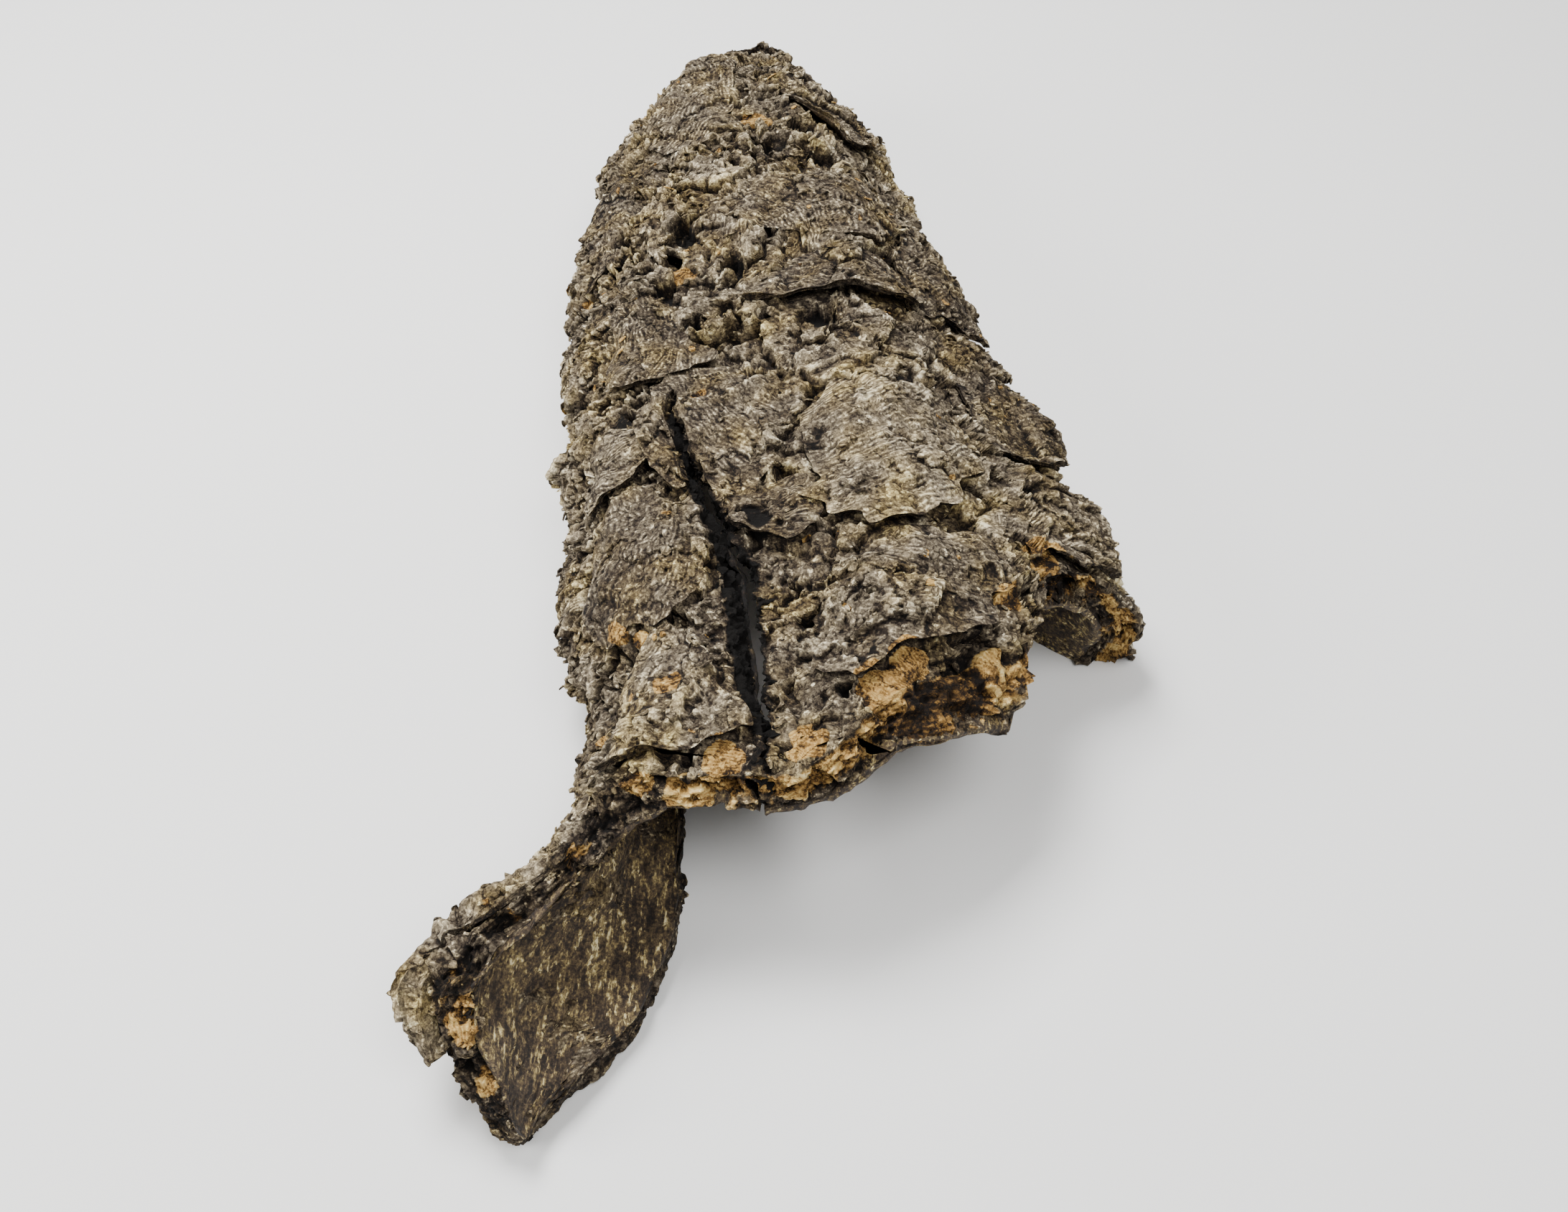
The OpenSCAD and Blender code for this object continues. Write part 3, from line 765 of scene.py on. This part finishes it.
def make_plate(node, curl, centre, spacing, crumble, pale):
    near, inside, top, under, freedom, _ = plate_fields[node]
    count = len(near)
    local = np.full(len(bark_points), -1)
    local[near] = np.arange(count)
    faces = local[quads]
    faces = faces[(faces >= 0).all(axis=1)]
    faces = faces[(inside[faces] > 0).all(axis=1)]
    faces, rim = drop_pinches(faces, count)
    used = np.unique(faces)
    index = np.full(count, -1)
    index[used] = np.arange(len(used))
    faces, rim = index[faces], index[rim]
    near, inside, top, under, freedom = near[used], inside[used], top[used], under[used], freedom[used]
    place, normal, out = bark_points[near], bark_normals[near], outward[near]

    relief, lean, _, loose = torn_relief(place, normal, crumble)
    void, depth = spots(place, VOIDS, 4.6, 9.0)
    void = step(void, -0.4, 1.5) * depth
    middle = place.mean(axis=0)
    reach = np.linalg.norm(place - middle - centre, axis=1) + 1.8 * noise(place, 16, 2.0, shift=5.5)
    ridges = np.abs(np.sin(math.pi * reach / (3.2 * spacing))) - 0.6
    relief = (0.35 + 0.65 * crumble) * relief + 1.0 * ridges * (1 - crumble)
    lift = under + curl * freedom * (1 - step(inside, 0.0, 9.0))
    thick = np.clip(top - under, 2.5, 12)
    height = lift + thick * (0.72 + 0.28 * step(inside, 0, 6)) + np.clip(relief, -3.5, 4.0)
    height *= 1 - 0.7 * (1 - freedom) * (1 - step(inside, 0, 8))
    thinnest = 1.2 + 0.9 * np.abs(noise(place, 3, 2.0))
    height = np.maximum(height - np.minimum(void, height - 1.0), lift + thinnest)
    upper = settle(place, out, height[:, None] * normal + (0.6 * lean) * step(inside, 0, 3)[:, None])
    lower = settle(place, out, (lift - 0.7)[:, None] * normal)

    # the way into the plate from its rim, over the cork
    a, b = np.concatenate([faces[:, [0, 1]], faces[:, [1, 2]], faces[:, [2, 3]], faces[:, [3, 0]]]).T
    slope = (inside[b] - inside[a])[:, None] * (place[b] - place[a])
    inward = np.stack([np.bincount(a, slope[:, k], len(used)) + np.bincount(b, slope[:, k], len(used))
                       for k in range(3)], axis=1)
    inward = unit(inward)
    steps = 4
    loop = np.unique(rim)
    ring_of = np.full(len(used), -1)
    ring_of[loop] = np.arange(len(loop))
    for side in (upper, lower):
        for axis in range(3):
            side[loop, axis] = evened(ring_of[rim], side[loop, axis], CELL, CELL)
    points = [upper, lower]
    for k in range(1, steps):
        t = k / steps
        ring = upper[loop] * (1 - t) + lower[loop] * t
        torn = 0.9 * noise(ring, 2.6, 2.0, shift=1.0) + 1.0 * noise(ring, 9, 1.0, shift=4.0)
        points.append(ring + inward[loop] * (2.2 * t + torn + 0.3 * (k % 2))[:, None])
    lower[loop] += inward[loop] * 2.2
    rings = [2 * len(used) + k * len(loop) + np.arange(len(loop)) for k in range(steps - 1)]
    rings = [loop] + rings + [loop + len(used)]
    first, second = ring_of[rim].T
    walls = [np.stack([above[second], above[first], below[first], below[second]], axis=1)
             for above, below in zip(rings, rings[1:])]
    all_faces = np.concatenate([faces, faces[:, ::-1] + len(used)] + walls)
    mesh = bpy.data.meshes.new(node + "_bark")
    mesh.from_pydata((np.concatenate(points) * MM).tolist(), [], all_faces.tolist())
    mesh.update()
    piece = bpy.data.objects.new(node + "_bark", mesh)
    bpy.context.scene.collection.objects.link(piece)

    edges = np.stack([a, b], axis=1)
    # Painted light and shade: the top's crests are made lighter and its hollows darker, and its rim lighter
    # as a painted highlight.
    hollow = relief - evened(edges, relief, 1.8, CELL)
    valley = relief - evened(edges, relief, 5.0, CELL)
    crest = np.clip(0.34 * hollow + 0.12 * valley + 0.12 * (1 - step(inside, 0, 3)), -1, 1)
    scar, _ = spots(place, SCARS, 4.0, 14.0)
    scar = step(scar, -0.6, 0.6)
    open_top = (void < 0.1) & (scar < 0.1) & (inside > 2.5)
    tops.append((upper[open_top], read(mesh.vertex_normals, "vector", 3)[:len(used)][open_top]))

    def whole(on_top, elsewhere):
        """Values for all of the piece's vertices, from those of its top and one for the rest."""
        return np.append(on_top, np.full(len(used) + len(loop) * (steps - 1), elsewhere))

    layers_down = [np.full(len(loop), k * 1.3) for k in range(1, steps)]
    growth = np.concatenate([reach * 2.7 / spacing, np.zeros(len(used))] + layers_down)
    # The torn edge of a plate paler than 1 takes its top's tone. The edges of the others are painted darker,
    # as shade along the plate's side, and partly tan.
    weathered_edge = pale > 1
    keep_values(mesh, rot=whole(np.zeros(len(used)), 0.0), growth=growth, loose=whole(loose * crumble, 0.2),
                crest=whole(crest, 0.1 if weathered_edge else -0.25),
                bare=whole(scar, 0.0 if weathered_edge else 0.32),
                pale=whole(np.full(len(used), pale), pale if weathered_edge else 0.4),
                deep=whole(np.clip(void / 8, 0, 1), 0.0))
    mesh.materials.append(cork_material)
    activate(piece)
    bpy.ops.object.shade_smooth_by_angle(angle=math.radians(28))
    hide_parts(node)
    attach(piece, "root")


for node, (_, curl, centre, spacing, crumble, pale) in PLATES.items():
    make_plate(node, curl, centre, spacing, crumble, pale)

# ---------------------------------------------------------------- flakes
# Thin flakes of dead cork, 3 to 9 mm long, that have lifted off the back and are still held at one side. Each
# is a closed chip with a few faces, and they are joined into two pieces: those on the cork, and those on the
# plates.


def scatter_flakes(name, points, normals, count, size, tilts, seed):
    """Closed chips with seven corners, each held at one side and tilted up from the bark, as one piece."""
    random = np.random.default_rng(seed)
    chosen = random.choice(len(points), count, replace=False)
    root, up = points[chosen], unit(normals[chosen])
    way = np.array([0.0, -0.8, 0.0]) + random.uniform(-1, 1, (count, 3))
    way = unit(way - np.einsum("ij,ij->i", way, up)[:, None] * up)
    tilt = np.radians(random.uniform(*tilts, count))[:, None]
    ahead = np.cos(tilt) * way + np.sin(tilt) * up
    above = np.cos(tilt) * up - np.sin(tilt) * way
    across = np.cross(above, ahead)
    corners = 7
    turn = 2 * math.pi * (np.arange(corners) + random.uniform(-0.32, 0.32, (count, corners))) / corners
    reach = random.uniform(0.62, 1.0, (count, corners))
    long, wide = random.uniform(*size, (2, count, 1)) / 2
    u, v = (long * reach * np.cos(turn))[..., None], (wide * reach * np.sin(turn))[..., None]
    thick = random.uniform(0.5, 1.0, (count, 1, 1))
    arch = 0.10 * (u / long[..., None]) ** 2 * long[..., None]
    base = root[:, None] + (0.55 * long)[..., None] * ahead[:, None] - 0.5 * up[:, None]
    under = base + u * ahead[:, None] + v * across[:, None] - arch * above[:, None]
    over = base + 0.86 * (u * ahead[:, None] + v * across[:, None]) + (thick - arch) * above[:, None]
    vertices = np.concatenate([under, over], axis=1)
    vertices[..., 2] = np.maximum(vertices[..., 2], 0.2)
    start = np.arange(count)[:, None] * 2 * corners
    k = np.arange(corners)
    faces = (start + corners + k).tolist() + (start + k[::-1]).tolist()
    for i in range(corners):
        j = (i + 1) % corners
        faces += (start + np.array([i, j, corners + j, corners + i])).tolist()
    mesh = bpy.data.meshes.new(name)
    mesh.from_pydata((vertices.reshape(-1, 3) * MM).tolist(), [], faces)
    mesh.update()
    piece = bpy.data.objects.new(name, mesh)
    bpy.context.scene.collection.objects.link(piece)
    each = np.ones((count, 2 * corners))
    upper = np.repeat([[0.0, 1.0]], corners, axis=0).T.reshape(1, -1)
    # Painted light and shade: each flake's upper side is made lighter and its underside darker.
    keep_values(mesh, rot=(each * 0).ravel(), crest=(each * (-0.15 + 0.45 * upper)).ravel(),
                growth=(random.uniform(0, 20, (count, 1)) + np.concatenate([u, u], axis=1)[..., 0]).ravel(),
                loose=(each * 0.25).ravel(), deep=(each * 0).ravel(),
                bare=(each * (random.uniform(0, 1, (count, 1)) < 0.035)).ravel(),
                pale=(each * random.uniform(0.2, 0.85, (count, 1))).ravel())
    mesh.materials.append(cork_material)
    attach(piece, "root")


unbroken = (body > 0.97) & (covered < 0.1) & (void < 0.1) & (scar < 0.1)
open_bark = np.flatnonzero(unbroken & (torn_points[:, 2] > 4))
scatter_flakes("cork_flakes", torn_points[open_bark], torn_normals[open_bark], 2400, (3.0, 8.5), (6, 32), 4)
top_points, top_normals = (np.concatenate(parts) for parts in zip(*tops))
scatter_flakes("plate_flakes", top_points, top_normals, 900, (2.5, 7.0), (4, 20), 5)


# ---------------------------------------------------------------- inner skin
# The hard, dark skin on the hollow side, 3 mm thick, that lay against the tree's living bark. It is dense and
# streaky, with low ridges that run along the bark, and it is grown onto the cork.

skin = smooth_copy("inner_skin", "inner_skin_bark", 1)
cork_tree = tree_of(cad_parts["cork_layer"].data)
shown = nearest(cork_tree, read(skin.data.polygons, "center", 3) / MM)[1] > 1.0
subdivide_flat(skin, shown, 3)
mesh = skin.data
points, normals = read(mesh.vertices, "co", 3) / MM, read(mesh.vertex_normals, "vector", 3)
out, _ = nearest(datum_tree, points)
free = step(nearest(cork_tree, points)[1], 0.2, 2.0)
streak = noise(points * (1, 0.16, 1), 6, 3.0, shift=3.0)
streak += 0.6 * noise(points * (1, 0.3, 1), 2.5, 2.0, shift=6.0)
pit = step(noise(points * (1, 0.5, 1), 9, 2.0, shift=2.0), 0.45, 0.9)
relief = 0.75 * streak - 1.4 * pit + 1.2 * noise(points, 24, 1.0) + 0.5 * noise(points, 3.4, 2.0, shift=4.2)
relief = np.minimum(free * relief, 1.8)
# Painted shade: the skin beside the split is darkened, and so are its pits.
near_split = np.all((points > (-85, -225, 60)) & (points < (5, -10, 140)), axis=1) * 1.0
move = settle(points, out, relief[:, None] * normals)
mesh.vertices.foreach_set("co", (move * MM).astype(np.float32).ravel())
mesh.update()
keep_values(mesh, streak=streak, pit=np.maximum(pit, 1.6 * near_split))

# Inner bark that dried hard where it lay against the tree: denser than cork and a little less matt. Fibres
# run along it, and old growth breaks up their brown into pale dashes, 1 to 2 mm wide.
material, tree = new_material("dense inner bark")
place = add(tree, "TexCoord", out="Object")
along = add(tree, "Mapping", place, Scale=(1.0, 0.3, 1.0))
streaks = add(tree, "TexNoise", Vector=along, Scale=1000 / 6, Detail=6, Roughness=0.65)
fibres = add(tree, "TexNoise", Vector=along, Scale=1000 / 1.7, Detail=5, Roughness=0.65, Distortion=0.6)
scale = add(tree, "SeparateColor", add(tree, "TexVoronoi", Vector=along, Scale=1000 / 1.8, out="Color"))
grit = add(tree, "TexNoise", Vector=place, Scale=1000 / 1.6, Detail=5, Roughness=0.75)
patches = add(tree, "TexNoise", Vector=place, Scale=1000 / 32, Detail=3)
streak, pit = (add(tree, "Attribute", attribute_name=value, out="Fac") for value in ("streak", "pit"))
tone = add(tree, "Math", streak, 0.08, 0.36, operation="MULTIPLY_ADD")
for part, amount in ((streaks, 0.7), (fibres, 0.6), (grit, 1.3), (patches, 0.6), (scale, 0.22)):
    part = add(tree, "Math", part, 0.5, operation="SUBTRACT")
    tone = add(tree, "Math", part, amount, tone, operation="MULTIPLY_ADD")
dash, spread = add(tree, "MapRange", fibres, 0.52, 0.6033), add(tree, "MapRange", streaks, 0.44, 0.64)
dashes = add(tree, "Math", dash, spread, operation="MULTIPLY")
tone = add(tree, "Math", dashes, 0.46, tone, operation="MULTIPLY_ADD")
# Pits and the skin beside the split are painted darker, as shade.
tone = add(tree, "Math", pit, -0.16, tone, operation="MULTIPLY_ADD", use_clamp=True)
colour = add(tree, "ValToRGB", tone, stops=(
    (0.0, "#0e0804"), (0.2, "#2a1e13"), (0.36, "#4d3e2b"), (0.5, "#6f5d3f"), (0.66, "#a8925c"),
    (0.82, "#d9c68c"), (1.0, "#f0e2b4")))
height = streaks
for part, amount in ((fibres, 1.4), (grit, 1.2), (scale, 0.5)):
    height = add(tree, "Math", part, amount, height, operation="MULTIPLY_ADD")
bump = add(tree, "Bump", Height=height, Strength=1.0, Distance=1.0 * MM)
surface = add(tree, "BsdfPrincipled", Base_Color=colour, Roughness=0.75, Normal=bump)
add(tree, "OutputMaterial", surface)
mesh.materials.append(material)
mesh.polygons.foreach_set("material_index", np.zeros(len(mesh.polygons), np.int32))
mesh.shade_smooth()
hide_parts("inner_skin")
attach(skin, "root")


# ---------------------------------------------------------------- floor, light and camera
# A wide sheet of pale uncoated paper under a large soft light from above and behind, with a weaker one in
# front and a low one on the left.

bpy.ops.object.select_all(action="DESELECT")
bpy.ops.mesh.primitive_plane_add(size=12)
floor = bpy.context.object
floor.name = "floor"
# Uncoated paper, matt, and nearly even in tone
material, tree = new_material("matt paper")
fleck = add(tree, "TexNoise", Vector=add(tree, "TexCoord", out="Object"), Scale=3, Detail=2)
colour = add(tree, "ValToRGB", fleck, stops=((0.0, "#ececea"), (1.0, "#f2f1ef")))
add(tree, "OutputMaterial", add(tree, "BsdfPrincipled", Base_Color=colour, Roughness=0.9))
floor.data.materials.append(material)

world = bpy.data.worlds.new("studio")
world.use_nodes = True
world.node_tree.nodes["Background"].inputs["Color"].default_value = (1, 1, 1, 1)
world.node_tree.nodes["Background"].inputs["Strength"].default_value = 0.35
bpy.context.scene.world = world


def soft_light(name, place, target, size, power):
    """A square area light of that size in metres and power in watts, turned to its target."""
    light = bpy.data.lights.new(name, "AREA")
    light.energy = power
    light.size = size
    holder = bpy.data.objects.new(name, light)
    holder.location = place
    holder.rotation_euler = (Vector(target) - Vector(place)).to_track_quat("-Z", "Y").to_euler()
    bpy.context.scene.collection.objects.link(holder)


soft_light("key light", (-0.45, 0.5, 1.6), (0, 0, 0), 0.7, 50)
soft_light("fill light", (0.5, -0.7, 1.9), (0, 0, 0), 1.0, 28)
soft_light("left light", (-1.5, -0.5, 0.9), (-0.1, -0.1, 0.05), 0.8, 22)

# The camera looks down at the bark at 52 degrees, from in front of its broken end
lens = bpy.data.cameras.new("camera")
lens.sensor_width = 36
lens.lens = 33.606
camera = bpy.data.objects.new("camera", lens)
camera.location = (-0.0089, -0.528, 0.597)
camera.rotation_euler = (math.radians(90 - 52), 0, 0)
bpy.context.scene.collection.objects.link(camera)
bpy.context.scene.camera = camera
